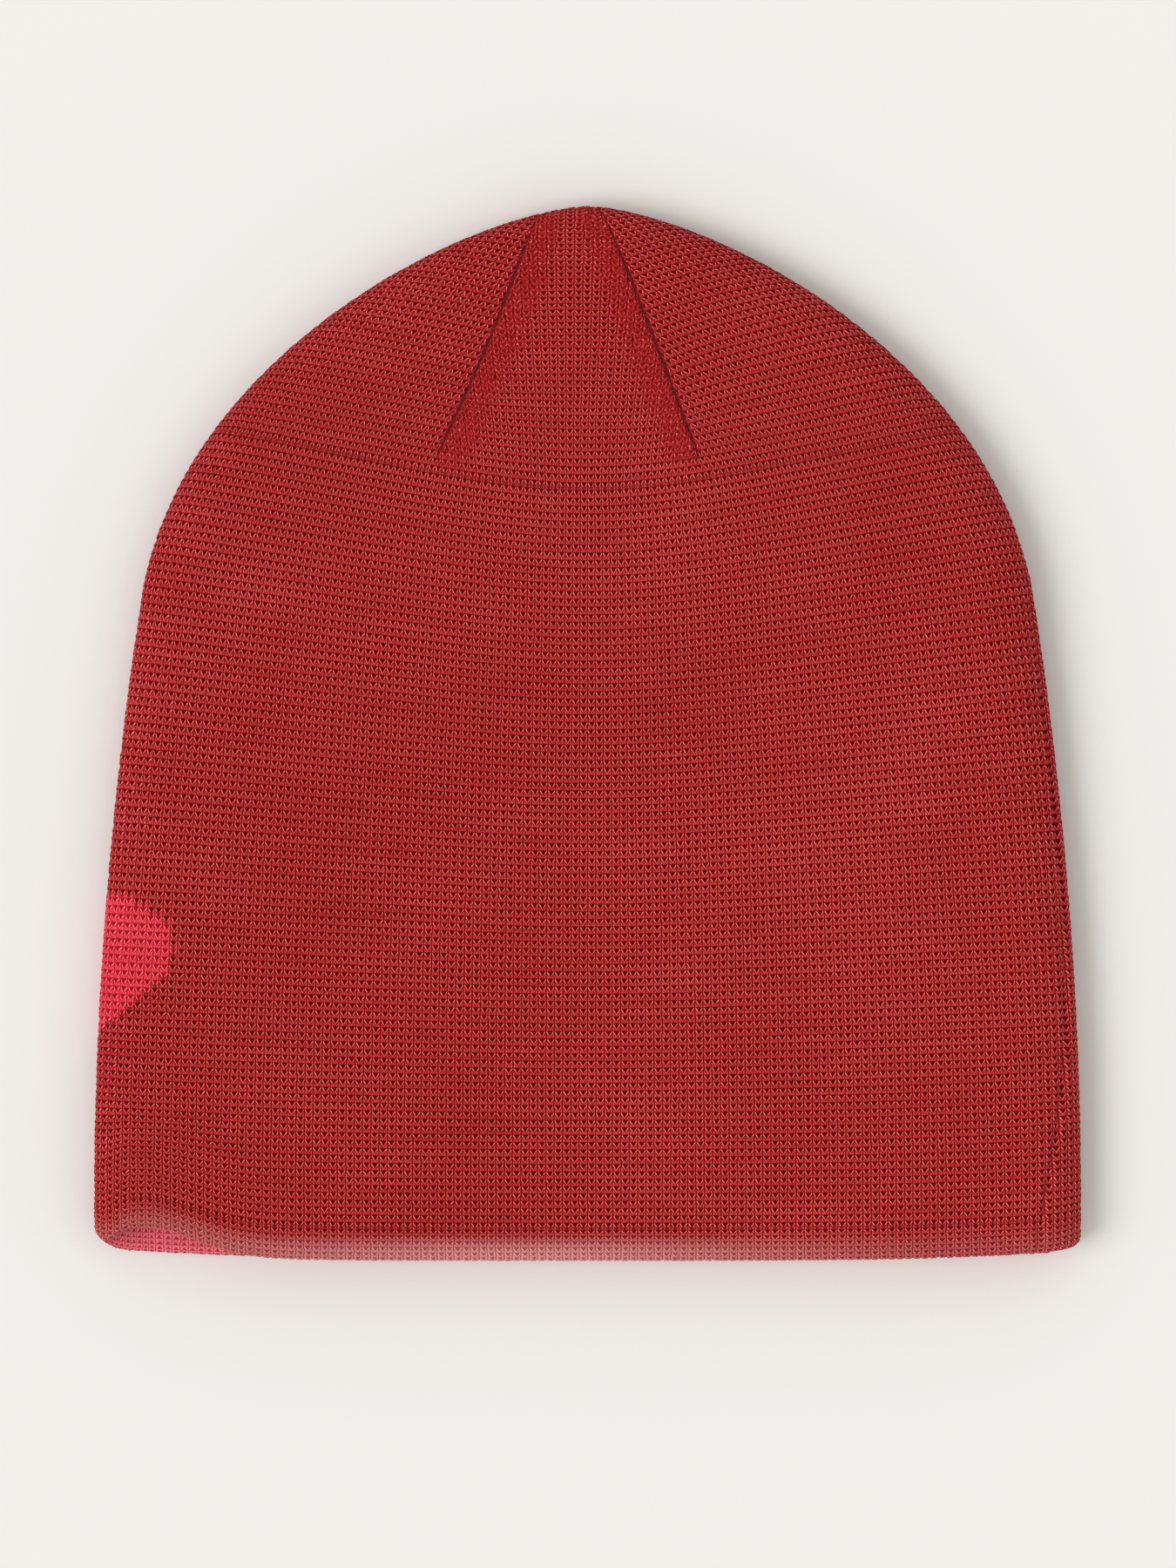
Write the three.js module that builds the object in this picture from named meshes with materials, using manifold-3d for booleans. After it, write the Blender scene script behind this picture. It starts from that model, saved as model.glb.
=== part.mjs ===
// A double-layer knitted beanie, lying folded flat on its side as it is stored.
// Millimetres. X runs across the hat, +Y from the rim to the crown, +Z up off the table.
// The origin is on the table, under the middle of the hat.
import * as THREE from "three";
import { mergeVertices } from "three/addons/utils/BufferGeometryUtils.js";
import Module from "manifold-3d";

// Driving dimensions.
const LENGTH = 236; // rim to crown tip
const THICKNESS = 14; // of the folded hat, both walls and the space between them
const OUTER_KNIT = 1.4; // thickness of the red face fabric
const LINING_KNIT = 1.2; // thickness of the pink lining fabric
const LAYER_GAP = 1.3; // room between the two fabrics, where the seam allowances lie
const CLEARANCE = 0.3; // between pieces that touch

// The plan outline: a domed crown, then sides that flare a little towards the rim.
const CROWN_HALF_WIDTH = 82;
const CROWN_DEPTH = 88;
const CROWN_FULLNESS = 2.04;
const CROWN_BLUNTNESS = 0.64;
const SIDE_FLARE = 0.253;
const FLARE_LENGTH = 225;
const RIM_HALF_WIDTH = 110;
const RIM_CORNER_LIFT = 2.5; // how far the rim rises from its middle to the folds

// Pieces.
const RIM_FOLD_DEPTH = 7;
const SEAM_WIDTH = 3.2;
const SEAM_THICKNESS = 0.6;
const HEART_WIDTH = 71;
const HEART_HEIGHT = 47.5;
const HEART_Y = -55;
const HEART_PAST_FOLD = 16.2; // from the front fold to the heart's middle, under the hat
const HEART_INLAY = 0.5;
const TACK_WIDTH = 3;
const TACK_THICKNESS = 0.5;
const LABEL_LENGTH = 20;
const LABEL_WIDTH = 14;
const LABEL_THICKNESS = 0.6;
const LABEL_Y = -92;
const BACK_SEAM_ANGLE = 45; // degrees round the back fold, above its edge
const LINING_SEAM_ANGLE = 0;

// How finely the surfaces are divided.
const ROWS = 24;
const ARC_STEPS = 8;
const COLUMNS = 8;
const BACK_SEAM_FIRST_ROW = 6; // below the crown, where the darts gather

const FOLD_RADIUS = THICKNESS / 2;
const WALL = OUTER_KNIT + LAYER_GAP + LINING_KNIT;
const LINING_DEPTH = OUTER_KNIT + LAYER_GAP;
const SEAM_DEPTH = OUTER_KNIT + (LAYER_GAP - SEAM_THICKNESS) / 2;
const LAYER_END = LENGTH - RIM_FOLD_DEPTH - CLEARANCE;
const TIP_Y = LENGTH / 2;

const YARN = {
  red: { color: 0xa82a2e, roughness: 0.9, metalness: 0 },
  pink: { color: 0xc83a58, roughness: 0.9, metalness: 0 },
  thread: { color: 0x8c1f26, roughness: 0.8, metalness: 0 },
  label: { color: 0xe9e4dc, roughness: 0.7, metalness: 0 },
};

const wasm = await Module();
wasm.setup();

const hat = new THREE.Group();

function addPiece(name, geometry, yarn) {
  const piece = new THREE.Mesh(geometry, new THREE.MeshStandardMaterial(YARN[yarn]));
  piece.name = name;
  hat.add(piece);
}

// Half the width of the outline, at a depth below the crown tip.
function halfWidth(depth) {
  const rise = 1 - Math.max(0, 1 - depth / CROWN_DEPTH) ** CROWN_FULLNESS;
  const flare = SIDE_FLARE * (depth - depth ** 2 / (2 * FLARE_LENGTH));
  return CROWN_HALF_WIDTH * rise ** CROWN_BLUNTNESS + flare;
}

// The fold's centre line at that depth, and the way out from it to the outline.
function foldLine(depth) {
  const step = 0.01;
  if (depth < step) return { x: 0, y: TIP_Y - FOLD_RADIUS, outX: 0, outY: 1 };
  const slope = (halfWidth(depth + step) - halfWidth(depth - step)) / (2 * step);
  const size = Math.hypot(1, slope);
  const outX = 1 / size;
  const outY = slope / size;
  return {
    x: halfWidth(depth) - FOLD_RADIUS * outX,
    y: TIP_Y - depth - FOLD_RADIUS * outY,
    outX,
    outY,
  };
}

// The rim rises towards both folds; the rise fades out over the lower third of the hat.
function rimLift(x, depth) {
  const near = THREE.MathUtils.smoothstep(depth, LENGTH * 0.66, LENGTH);
  return RIM_CORNER_LIFT * (x / RIM_HALF_WIDTH) ** 4 * near;
}

// A point on the right-hand fold: angle is 0 at its edge and +90 degrees on top.
function foldPoint(depth, angle, inset) {
  const line = foldLine(depth);
  const radius = FOLD_RADIUS - inset;
  const across = radius * Math.cos(angle);
  const x = line.x + line.outX * across;
  const y = line.y + line.outY * across + rimLift(x, depth);
  return new THREE.Vector3(x, y, FOLD_RADIUS + radius * Math.sin(angle));
}

// One closed ring round both walls at a depth, inset into the fabric.
function ring(depth, inset) {
  const points = [];
  for (let i = 0; i <= ARC_STEPS; i++) {
    points.push(foldPoint(depth, (i / ARC_STEPS - 0.5) * Math.PI, inset));
  }
  const line = foldLine(depth);
  for (let c = 1; c < COLUMNS; c++) {
    const x = line.x * (1 - (2 * c) / COLUMNS);
    points.push(new THREE.Vector3(x, line.y + rimLift(x, depth), THICKNESS - inset));
  }
  for (let i = ARC_STEPS; i >= 0; i--) {
    points.push(mirrored(points[i]));
  }
  for (let c = COLUMNS - 1; c > 0; c--) {
    const x = line.x * (1 - (2 * c) / COLUMNS);
    points.push(new THREE.Vector3(x, line.y + rimLift(x, depth), inset));
  }
  return points;
}

function mirrored(point) {
  return new THREE.Vector3(-point.x, point.y, point.z);
}

// Quads between neighbouring loops of points, as an indexed geometry with merged points.
// closed joins the last loop back to the first; otherwise flat caps can be given as triangles.
function skin(loops, { closed = false, caps = [] } = {}) {
  const size = loops[0].length;
  const positions = loops.flat().flatMap((p) => [p.x, p.y, p.z]);
  const faces = [...caps];
  const last = closed ? loops.length : loops.length - 1;
  for (let i = 0; i < last; i++) {
    const a = i * size;
    const b = ((i + 1) % loops.length) * size;
    for (let j = 0; j < size; j++) {
      const k = (j + 1) % size;
      faces.push([a + j, b + k, b + j], [a + j, a + k, b + k]);
    }
  }
  const geometry = new THREE.BufferGeometry();
  geometry.setAttribute("position", new THREE.Float32BufferAttribute(positions, 3));
  geometry.setIndex(faces.flat());
  return withoutSlivers(mergeVertices(geometry, 1e-4));
}

// Where a ring closes to a line at the crown, the faces between equal points go.
function withoutSlivers(geometry) {
  const kept = [];
  const index = geometry.index.array;
  for (let i = 0; i < index.length; i += 3) {
    const [a, b, c] = index.slice(i, i + 3);
    if (a !== b && b !== c && a !== c) kept.push(a, b, c);
  }
  geometry.setIndex(kept);
  return geometry;
}

// The depths of the fabric's rows of points, closer together near the crown.
function rowDepths() {
  return Array.from({ length: ROWS + 1 }, (_, k) => LAYER_END * (k / ROWS) ** 2);
}

// A fabric layer from the crown down to its lower edge, open at the rim.
function fabricLayer(outerInset, innerInset) {
  const depths = rowDepths();
  const outside = depths.map((depth) => ring(depth, outerInset));
  const inside = depths.reverse().map((depth) => ring(depth, innerInset));
  return skin([...outside, ...inside]);
}

// The turned edge that joins the two layers: a channel with a round bottom.
function rimFold() {
  const top = LENGTH - RIM_FOLD_DEPTH;
  const turn = WALL / 2;
  const innerTurn = LAYER_GAP / 2;
  const middle = OUTER_KNIT + innerTurn;
  const profile = [[0, top]];
  for (let i = 0; i <= ARC_STEPS; i++) {
    const angle = (i / ARC_STEPS) * Math.PI;
    profile.push([turn - turn * Math.cos(angle), LENGTH - turn + turn * Math.sin(angle)]);
  }
  profile.push([WALL, top], [LINING_DEPTH, top]);
  for (let i = ARC_STEPS; i >= 0; i--) {
    const angle = (i / ARC_STEPS) * Math.PI;
    const inset = middle - innerTurn * Math.cos(angle);
    profile.push([inset, LENGTH - turn + innerTurn * Math.sin(angle)]);
  }
  profile.push([OUTER_KNIT, top]);
  return skin(profile.map(([inset, depth]) => ring(depth, inset)), { closed: true });
}

// A flat strip that follows a curve in plan, as a seam allowance lies in a wall.
function seamStrip(start, bend, end, bottom) {
  const curve = new THREE.QuadraticBezierCurve(start, bend, end);
  const steps = 8;
  const left = [];
  const right = [];
  for (let i = 0; i <= steps; i++) {
    const at = curve.getPoint(i / steps);
    const along = curve.getTangent(i / steps);
    const side = new THREE.Vector2(-along.y, along.x).multiplyScalar(SEAM_WIDTH / 2);
    left.push(at.clone().add(side));
    right.unshift(at.clone().sub(side));
  }
  const outline = new THREE.Shape([...left, ...right]);
  const strip = new THREE.ExtrudeGeometry(outline, { depth: SEAM_THICKNESS, bevelEnabled: false });
  return strip.translate(0, 0, bottom);
}

// A strip that follows the back fold down to the rim, round its edge at the given angle.
function foldSeam(angle) {
  const middle = THREE.MathUtils.degToRad(angle);
  const half = SEAM_WIDTH / 2 / (FOLD_RADIUS - SEAM_DEPTH);
  const edge = (depth, turns, inset) => turns.map((turn) => foldPoint(depth, middle + turn, inset));
  const loops = rowDepths()
    .slice(BACK_SEAM_FIRST_ROW)
    .map((depth) => [
      ...edge(depth, [-half, 0, half], SEAM_DEPTH),
      ...edge(depth, [half, 0, -half], SEAM_DEPTH + SEAM_THICKNESS),
    ]);
  const last = loops.length * 6 - 6;
  const halves = [
    [0, 1, 4],
    [0, 4, 5],
    [1, 2, 3],
    [1, 3, 4],
  ];
  const startCap = halves.map(([a, b, c]) => [a, c, b]);
  const endCap = halves.map((face) => face.map((corner) => corner + last));
  const caps = [...startCap, ...endCap];
  return skin(loops, { caps });
}

function toSolid(geometry) {
  const plain = geometry.index ? geometry.toNonIndexed() : geometry.clone();
  plain.deleteAttribute("normal");
  plain.deleteAttribute("uv");
  const merged = mergeVertices(plain, 1e-4);
  const mesh = new wasm.Mesh({
    numProp: 3,
    vertProperties: merged.attributes.position.array,
    triVerts: new Uint32Array(merged.index.array),
  });
  return new wasm.Manifold(mesh);
}

function toGeometry(solid) {
  const mesh = solid.getMesh();
  const geometry = new THREE.BufferGeometry();
  geometry.setAttribute("position", new THREE.BufferAttribute(mesh.vertProperties, 3));
  geometry.setIndex(new THREE.BufferAttribute(mesh.triVerts, 1));
  return geometry;
}

// A plain heart, as points across and along the fabric from its middle.
function heartOutline(width, height) {
  const steps = 48;
  return Array.from({ length: steps }, (_, i) => {
    const t = (i / steps) * 2 * Math.PI;
    const across = Math.sin(t) ** 3;
    const along = 13 * Math.cos(t) - 5 * Math.cos(2 * t) - 2 * Math.cos(3 * t) - Math.cos(4 * t);
    return [(across * width) / 2, (along * height) / 29];
  });
}

// Seen from above, how far in from the fold's edge a point on the fabric lies, when it is
// the given way round the fold from that edge. Past the edge it stays outside the hat.
function inFromEdge(way) {
  const quarter = (FOLD_RADIUS * Math.PI) / 2;
  if (way < 0) return way;
  if (way < quarter) return FOLD_RADIUS * (1 - Math.cos(way / FOLD_RADIUS));
  return FOLD_RADIUS + way - quarter;
}

// The heart's cutter: one upright prism for the upper wall and one for the lower wall.
function heartCutter(shrink) {
  const outline = heartOutline(HEART_WIDTH - 2 * shrink, HEART_HEIGHT - 2 * shrink);
  const edge = -halfWidth(TIP_Y - HEART_Y);
  const prism = (side, bottom) => {
    const points = outline.map(([across, along]) => {
      const way = side * (across - HEART_PAST_FOLD);
      return new THREE.Vector2(edge + inFromEdge(way), HEART_Y + along);
    });
    const options = { depth: FOLD_RADIUS + 1, bevelEnabled: false };
    return toSolid(new THREE.ExtrudeGeometry(new THREE.Shape(points), options).translate(0, 0, bottom));
  };
  return prism(1, FOLD_RADIUS).add(prism(-1, -1));
}

function buildShellAndHeart() {
  const shell = toSolid(fabricLayer(0, OUTER_KNIT));
  const pocket = toSolid(fabricLayer(-1, HEART_INLAY + CLEARANCE)).intersect(heartCutter(0));
  const inlay = toSolid(fabricLayer(0, HEART_INLAY)).intersect(heartCutter(CLEARANCE));
  addPiece("outer_shell", toGeometry(shell.subtract(pocket)), "red");
  addPiece("heart_motif", toGeometry(inlay), "pink");
}

// Each wall has two darts in the face fabric and two in the lining, set side by side
// so that their allowances don't lie on each other.
function buildDartSeams() {
  const point = (x, y) => new THREE.Vector2(x, y);
  const darts = [
    ["outer_dart_seam_front", point(-33, 63), point(-26, 83), point(-13, 107), "thread"],
    ["outer_dart_seam_back", point(24.8, 62), point(17.2, 86), point(5.5, 109), "thread"],
    ["lining_dart_seam_front", point(-48, 58), point(-37, 84), point(-22, 102), "thread"],
    ["lining_dart_seam_back", point(44, 56), point(24, 82), point(13, 105), "thread"],
  ];
  for (const [name, start, bend, end, yarn] of darts) {
    const upper = THICKNESS - SEAM_DEPTH - SEAM_THICKNESS;
    addPiece(name + "_upper", seamStrip(start, bend, end, upper), yarn);
    addPiece(name + "_lower", seamStrip(start, bend, end, SEAM_DEPTH), yarn);
  }
}

function buildBackSeams() {
  addPiece("outer_back_seam", foldSeam(BACK_SEAM_ANGLE), "thread");
  addPiece("lining_back_seam", foldSeam(LINING_SEAM_ANGLE), "thread");
}

// A bar of thread that holds the lining's crown to the face fabric's crown.
function buildCrownTack() {
  const tack = new THREE.BoxGeometry(TACK_WIDTH, TACK_THICKNESS, TACK_WIDTH);
  addPiece("crown_tack", tack.translate(0, TIP_Y - OUTER_KNIT - LAYER_GAP / 2, FOLD_RADIUS), "thread");
}

// A blank care label, sewn in at the back seam and lying on the lining.
function buildLabel() {
  const inner = foldLine(TIP_Y - LABEL_Y).x;
  const label = new THREE.BoxGeometry(LABEL_LENGTH, LABEL_WIDTH, LABEL_THICKNESS);
  const z = WALL + CLEARANCE + LABEL_THICKNESS / 2;
  addPiece("care_label", label.translate(inner - LABEL_LENGTH / 2, LABEL_Y, z), "label");
}

buildShellAndHeart();
addPiece("lining_shell", fabricLayer(LINING_DEPTH, WALL), "pink");
addPiece("rim_fold", rimFold(), "red");
buildDartSeams();
buildBackSeams();
buildCrownTack();
buildLabel();

export default hat;
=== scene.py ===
"""A knit beanie lying flat, crown towards +Y. Lengths are in millimetres until they reach a mesh."""

import math

import bpy
import numpy as np
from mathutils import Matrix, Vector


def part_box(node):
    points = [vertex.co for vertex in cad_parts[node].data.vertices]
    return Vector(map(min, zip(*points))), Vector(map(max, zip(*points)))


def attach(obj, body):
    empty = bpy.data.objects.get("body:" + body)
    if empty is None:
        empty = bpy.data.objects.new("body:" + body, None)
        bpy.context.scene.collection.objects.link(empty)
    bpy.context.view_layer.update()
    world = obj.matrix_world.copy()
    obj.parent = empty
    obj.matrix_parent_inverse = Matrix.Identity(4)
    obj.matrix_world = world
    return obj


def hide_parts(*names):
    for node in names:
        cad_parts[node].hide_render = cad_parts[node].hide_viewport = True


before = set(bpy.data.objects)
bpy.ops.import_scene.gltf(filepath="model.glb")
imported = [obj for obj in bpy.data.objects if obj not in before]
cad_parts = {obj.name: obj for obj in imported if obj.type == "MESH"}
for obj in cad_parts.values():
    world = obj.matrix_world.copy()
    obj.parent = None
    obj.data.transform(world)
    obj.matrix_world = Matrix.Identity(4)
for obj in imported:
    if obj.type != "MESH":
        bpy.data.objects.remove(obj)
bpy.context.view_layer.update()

MM = 0.001

# The hat, as in the CAD.
LENGTH = 236.0
THICKNESS = 14.0
TIP_Y = LENGTH / 2
MIDDLE_Z = THICKNESS / 2
CROWN_HALF_WIDTH = 82.0
CROWN_DEPTH = 88.0
CROWN_FULLNESS = 2.04
CROWN_BLUNTNESS = 0.64
SIDE_FLARE = 0.253
FLARE_LENGTH = 225.0
RIM_HALF_WIDTH = 110.0
RIM_CORNER_LIFT = 2.5
FACE_KNIT = 1.3
LINING_END = 3.9
LINING_KNIT = 1.1
LINING_TUCK = 0.7
LINING_SEAM_TURN = -0.4  # the lining's allowance turns towards the face fabric, not away from it
RIM_KNIT = 0.9
THREAD_WIDTH = 0.38
THREAD_KNIT = 0.5
THREAD_STITCH = 1.7
THREAD_DETAIL = (2, 3)

# The side folds, seen in section, are quarters of an ellipse this far across.
FOLD_REACH = 13.0

# Knitting: wales run from the rim to the crown, courses run round the hat. A stitch has a hollow
# between its two legs, from HOLLOW_LOW to HOLLOW_TOP along a leg, and a slit at each side.
HALF_WALES = 61
MIDDLE_HALF_WALES = 18
BODY_COURSES = 98
BODY_START_Y = -111.0
BODY_END_Y = 54.0
COURSE_LOW = 1.63
COURSE_HIGH = 1.74
LEG_RISE = 0.9
RELIEF = 0.55
HOLLOW_LOW = 0.36
HOLLOW_TOP = 1.03
HOLLOW_TOP_SLANT = 0.78
LEG_OFF = 0.62
CROWN_COURSES = 52
CROWN_START = BODY_COURSES + 1
GORE_MIDDLE = 55.0
GORE_COURSE = 1.72
CENTRE_X = -3.8
BACK_SEAM_DEPTH = 0.8
BACK_SEAM_WIDTH = 0.75

# How many columns and rows of faces make one stitch's relief.
FINE = ((4, 3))
COARSE = (2, 2)
LINING_DETAIL = (2, 1)

# The heart on the front fold.
HEART_WIDTH = 71.0
HEART_HEIGHT = 47.5
HEART_Y = -55.0
HEART_PAST_FOLD = 16.2

# Dart seams in plan, from their lower ends to the crown. Each of the face fabric's is a bowed
# line through a start, a bend and an end. The lining's are points in turn.
LEFT_DART_BEND = ((-33.2, 62.7), (-14.5, 101.0), (-10.0, 124.0))
RIGHT_DART_BEND = ((24.8, 62.1), (11.6, 97.0), (0.8, 124.0))
LINING_LEFT_DART = [(-48.0, 58.0), (-36.0, 82.0), (-22.0, 102.0), (-10.0, 124.0)]
LINING_RIGHT_DART = [(44.0, 56.0), (26.3, 81.3), (13.0, 105.0), (4.0, 124.0)]
SEAM_ROLL = 0.85
SEAM_GROOVE = 0.15
THREAD_TOP_Y = 117.0
KEPT_PAST_SEAM = 0.9
KEPT_PAST_FOLD = 1.0


def smoothstep(x, low, high):
    t = np.clip((x - low) / (high - low), 0, 1)
    return t * t * (3 - 2 * t)


def bowed_line(start, bend, end, steps=12):
    """Points along a curve that leaves start towards bend and reaches end."""
    points = []
    for step in range(steps + 1):
        t = step / steps
        near, mid, far = (1 - t) ** 2, 2 * t * (1 - t), t * t
        x, y = (near * a + mid * b + far * c for a, b, c in zip(start, bend, end))
        points.append((x, y))
    return points


LEFT_DART = bowed_line(*LEFT_DART_BEND)
RIGHT_DART = bowed_line(*RIGHT_DART_BEND)


def half_width(depth):
    """Half the hat's width at a depth below the crown's tip."""
    crown = np.clip(1 - depth / CROWN_DEPTH, 0, 1) ** CROWN_FULLNESS
    flare = SIDE_FLARE * (depth - depth * depth / (2 * FLARE_LENGTH))
    return CROWN_HALF_WIDTH * (1 - crown) ** CROWN_BLUNTNESS + flare


# The fold line: where the flat wall starts to turn over, with its way out and how deep it lies.
LINE_DEPTH = np.concatenate([np.linspace(0, 1, 200) ** 3 * 6, np.linspace(6.1, LENGTH + 30, 900)])
EDGE_SLOPE = np.gradient(half_width(LINE_DEPTH), LINE_DEPTH)
LINE_OUT_X = 1 / np.hypot(1, EDGE_SLOPE)
LINE_OUT_Y = EDGE_SLOPE / np.hypot(1, EDGE_SLOPE)
LINE_OUT_X[0], LINE_OUT_Y[0] = 0.0, 1.0
LINE_X = np.maximum(half_width(LINE_DEPTH) - FOLD_REACH * LINE_OUT_X, 0)
LINE_Y = TIP_Y - LINE_DEPTH - FOLD_REACH * LINE_OUT_Y

# Arc length along the quarter ellipse, against its angle from the flat wall.
ELLIPSE_ANGLE = np.linspace(0, math.pi / 2, 200)
ARC_RATE = np.hypot(FOLD_REACH * np.cos(ELLIPSE_ANGLE), MIDDLE_Z * np.sin(ELLIPSE_ANGLE))
ELLIPSE_ARC = np.concatenate([[0], np.cumsum((ARC_RATE[1:] + ARC_RATE[:-1]) / 2 * np.diff(ELLIPSE_ANGLE))])
FOLD_ARC = float(ELLIPSE_ARC[-1])

# The distance past the fold line over the plan, kept as a grid.
GRID_STEP = 1.0
GRID_X = np.arange(0, 150, GRID_STEP)
GRID_Y = np.arange(-160, 150, GRID_STEP)


def fold_grid():
    """Each grid point's distance past the fold line, and the depth of the line's nearest point."""
    gx, gy = np.meshgrid(GRID_X, GRID_Y)
    shape = gx.shape
    gx, gy = gx.ravel(), gy.ravel()
    past = np.empty(len(gx))
    depth = np.empty(len(gx))
    for start in range(0, len(gx), 4000):
        part = slice(start, start + 4000)
        dx = gx[part, None] - LINE_X[None]
        dy = gy[part, None] - LINE_Y[None]
        near = np.argmin(dx * dx + dy * dy, axis=1)
        row = np.arange(len(near))
        along = dx[row, near] * LINE_OUT_X[near] + dy[row, near] * LINE_OUT_Y[near]
        past[part] = np.sign(along) * np.hypot(dx[row, near], dy[row, near])
        depth[part] = LINE_DEPTH[near]
    return past.reshape(shape), depth.reshape(shape)


PAST_GRID, DEPTH_GRID = fold_grid()


def sample(grid, x, y):
    """The grid's value at plan points, blended between its four nearest."""
    fx = np.clip((x - GRID_X[0]) / GRID_STEP, 0, len(GRID_X) - 1.001)
    fy = np.clip((y - GRID_Y[0]) / GRID_STEP, 0, len(GRID_Y) - 1.001)
    ix, iy = fx.astype(int), fy.astype(int)
    tx, ty = fx - ix, fy - iy
    low = grid[iy, ix] * (1 - tx) + grid[iy, ix + 1] * tx
    high = grid[iy + 1, ix] * (1 - tx) + grid[iy + 1, ix + 1] * tx
    return low * (1 - ty) + high * ty


def wrap(x, y, inset, wall):
    """Lays plan points on a wall, 1 the upper and -1 the lower. Points past the fold line go round it."""
    side = np.where(x < 0, -1.0, 1.0)
    ax = np.abs(x)
    past = np.clip(sample(PAST_GRID, ax, y), None, FOLD_ARC)
    depth = sample(DEPTH_GRID, ax, y)
    out_x = np.interp(depth, LINE_DEPTH, LINE_OUT_X)
    out_y = np.interp(depth, LINE_DEPTH, LINE_OUT_Y)
    line_x = np.interp(depth, LINE_DEPTH, LINE_X)
    line_y = np.interp(depth, LINE_DEPTH, LINE_Y)
    angle = np.interp(past, ELLIPSE_ARC, ELLIPSE_ANGLE)
    reach = (FOLD_REACH - inset) * np.sin(angle)
    turned = past > 0
    plan_x = side * np.where(turned, line_x + out_x * reach, ax)
    plan_y = np.where(turned, line_y + out_y * reach, y)
    up = np.where(turned, (MIDDLE_Z - inset) * np.cos(angle), MIDDLE_Z - inset)
    return plan_x, plan_y, MIDDLE_Z + wall * up, past


def rim_lift(x, depth, wall):
    """How far the rim rises towards the crown: its corners, their rounding, and the lip by the front fold."""
    lift = RIM_CORNER_LIFT * (np.abs(x) / RIM_HALF_WIDTH) ** 4 * smoothstep(depth, 0.66 * LENGTH, LENGTH)
    rounded = smoothstep(np.abs(x), 102.5, 112.0) ** 2
    lift = lift + np.where(x < 0, 3.8, 1.2) * rounded * smoothstep(depth, 0.93 * LENGTH, LENGTH)
    if wall > 0:
        lip = np.exp(-(((x + 98.0) / 15.0) ** 2)) * smoothstep(x, -109.8, -102.5)
        lift = lift + 5.8 * lip * smoothstep(depth, 0.84 * LENGTH, LENGTH)
    return lift


def sway(x, y):
    """The cloth's gentle waves: how far it sinks below its highest."""
    waves = np.sin(x / 31 + y / 47 + 0.6) * np.sin(y / 39 - x / 63 + 1.9)
    more = np.sin(x / 17 - y / 29 + 2.2) * np.sin(y / 21 + x / 37)
    return 0.28 * (1 + waves) + 0.1 * (1 + more)


# ---------------------------------------------------------------- where each stitch lies

SHIFT_Y = np.linspace(40, 150, 441)


def lean_of(y, side):
    """How far a gore's wales lean towards the crown, in radians."""
    if side > 0:
        return np.radians(12.0 + 30.0 * smoothstep(y, 40.0, 110.0))
    return np.radians(12.0 + 20.5 * smoothstep(y, 40.0, 88.0))


def opening_of(y):
    """How far a gore's stitches spread as the cloth is drawn to the crown."""
    return 1.0 + 0.5 * smoothstep(y, 50.0, 115.0)


def shift_table(side):
    """How far the lean has carried a wale sideways, at each height in SHIFT_Y."""
    return np.concatenate([[0], np.cumsum(np.tan(lean_of(SHIFT_Y[:-1], side)) * np.diff(SHIFT_Y))])


SHIFT_RIGHT = shift_table(1)
SHIFT_LEFT = shift_table(-1)


def wall_half(depth):
    """Half a wall's width along the cloth, from the middle to the edge of the fold."""
    return np.interp(depth, LINE_DEPTH, LINE_X) + FOLD_ARC


def row_rise(x, y):
    """How far a course climbs from the middle to x: hardly at all at the rim, more towards the crown."""
    steepest = np.tan(np.radians(12.0 * np.clip((y + 118.0) / 176.0, 0, 1) ** 1.6))
    return steepest * 25.0 * np.log(np.cosh(x / 25.0))


def body_row(v):
    """The height of course v where it crosses the middle."""
    t = np.asarray(v, float)
    total = BODY_COURSES * (COURSE_LOW + COURSE_HIGH) / 2
    rise = COURSE_LOW * t + (COURSE_HIGH - COURSE_LOW) * t * t / (2 * BODY_COURSES)
    return BODY_START_Y + rise * (BODY_END_Y - BODY_START_Y) / total


def body_place(u, v):
    """Plan place of wale u and course v in the body."""
    y0 = body_row(v)
    s = u / HALF_WALES
    y = y0
    for _ in range(3):
        x = s * wall_half(TIP_Y - y)
        y = y0 + row_rise(x, y0)
    return s * wall_half(TIP_Y - y), y


def crown_base(u, v):
    """How many courses up the crown v lies, and where its wale starts at the crown's first course."""
    xb, yb = body_place(u, np.full_like(u, float(CROWN_START)))
    return v - CROWN_START, xb, yb


def joined_to_body(x, y, u, v):
    """The crown's places, with the body's own below its first course, so that the two share an edge."""
    below = v < CROWN_START
    if not np.any(below):
        return x, y
    bx, by = body_place(u, v)
    return np.where(below, bx, x), np.where(below, by, y)


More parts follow.
